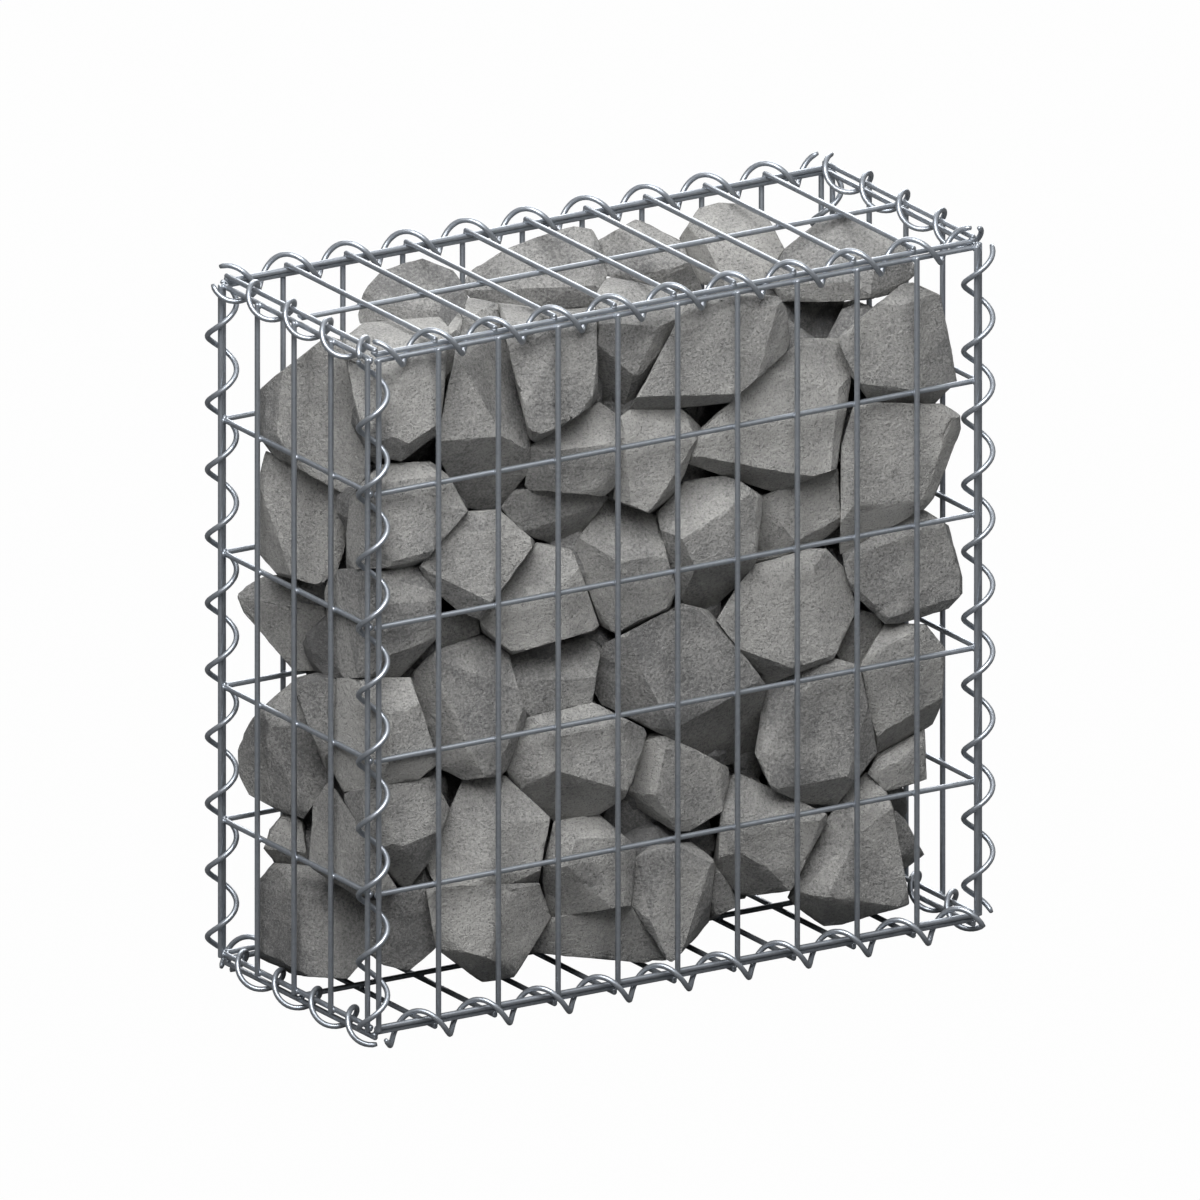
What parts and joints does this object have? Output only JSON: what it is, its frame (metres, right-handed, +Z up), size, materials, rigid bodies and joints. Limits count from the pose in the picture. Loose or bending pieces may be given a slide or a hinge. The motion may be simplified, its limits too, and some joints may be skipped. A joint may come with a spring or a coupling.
{
  "type": "gabion basket",
  "caption": "Welded wire-mesh gabion basket, laced shut along its edges with wire spirals and filled with broken stone; a free-standing block of a retaining or garden wall.",
  "frame": {"origin": "on the ground, under the middle of the basket's outline", "axes": "+X along the front from left to right, +Y from front to back, +Z up"},
  "size_m": [0.5318, 0.2354, 0.5322],
  "materials": {
    "galvanised_wire": "galvanised, dull",
    "broken_stone": "rough, broken faces"
  },
  "bodies": {
    "root": {"back_panel": "galvanised_wire", "back_stones_course_1": "broken_stone", "back_stones_course_2": "broken_stone", "back_stones_course_3": "broken_stone", "back_stones_course_4": "broken_stone", "back_stones_course_5": "broken_stone", "base_panel": "galvanised_wire", "bottom_back_spiral": "galvanised_wire", "bottom_front_spiral": "galvanised_wire", "bottom_left_spiral": "galvanised_wire", "bottom_right_spiral": "galvanised_wire", "front_panel": "galvanised_wire", "front_stones_course_1": "broken_stone", "front_stones_course_2": "broken_stone", "front_stones_course_3": "broken_stone", "front_stones_course_4": "broken_stone", "front_stones_course_5": "broken_stone", "left_back_spiral": "galvanised_wire", "left_end_panel": "galvanised_wire", "left_front_spiral": "galvanised_wire", "lid_panel": "galvanised_wire", "right_back_spiral": "galvanised_wire", "right_end_panel": "galvanised_wire", "right_front_spiral": "galvanised_wire", "top_back_spiral": "galvanised_wire", "top_front_spiral": "galvanised_wire", "top_left_spiral": "galvanised_wire", "top_right_spiral": "galvanised_wire"}
  },
  "joints": []
}
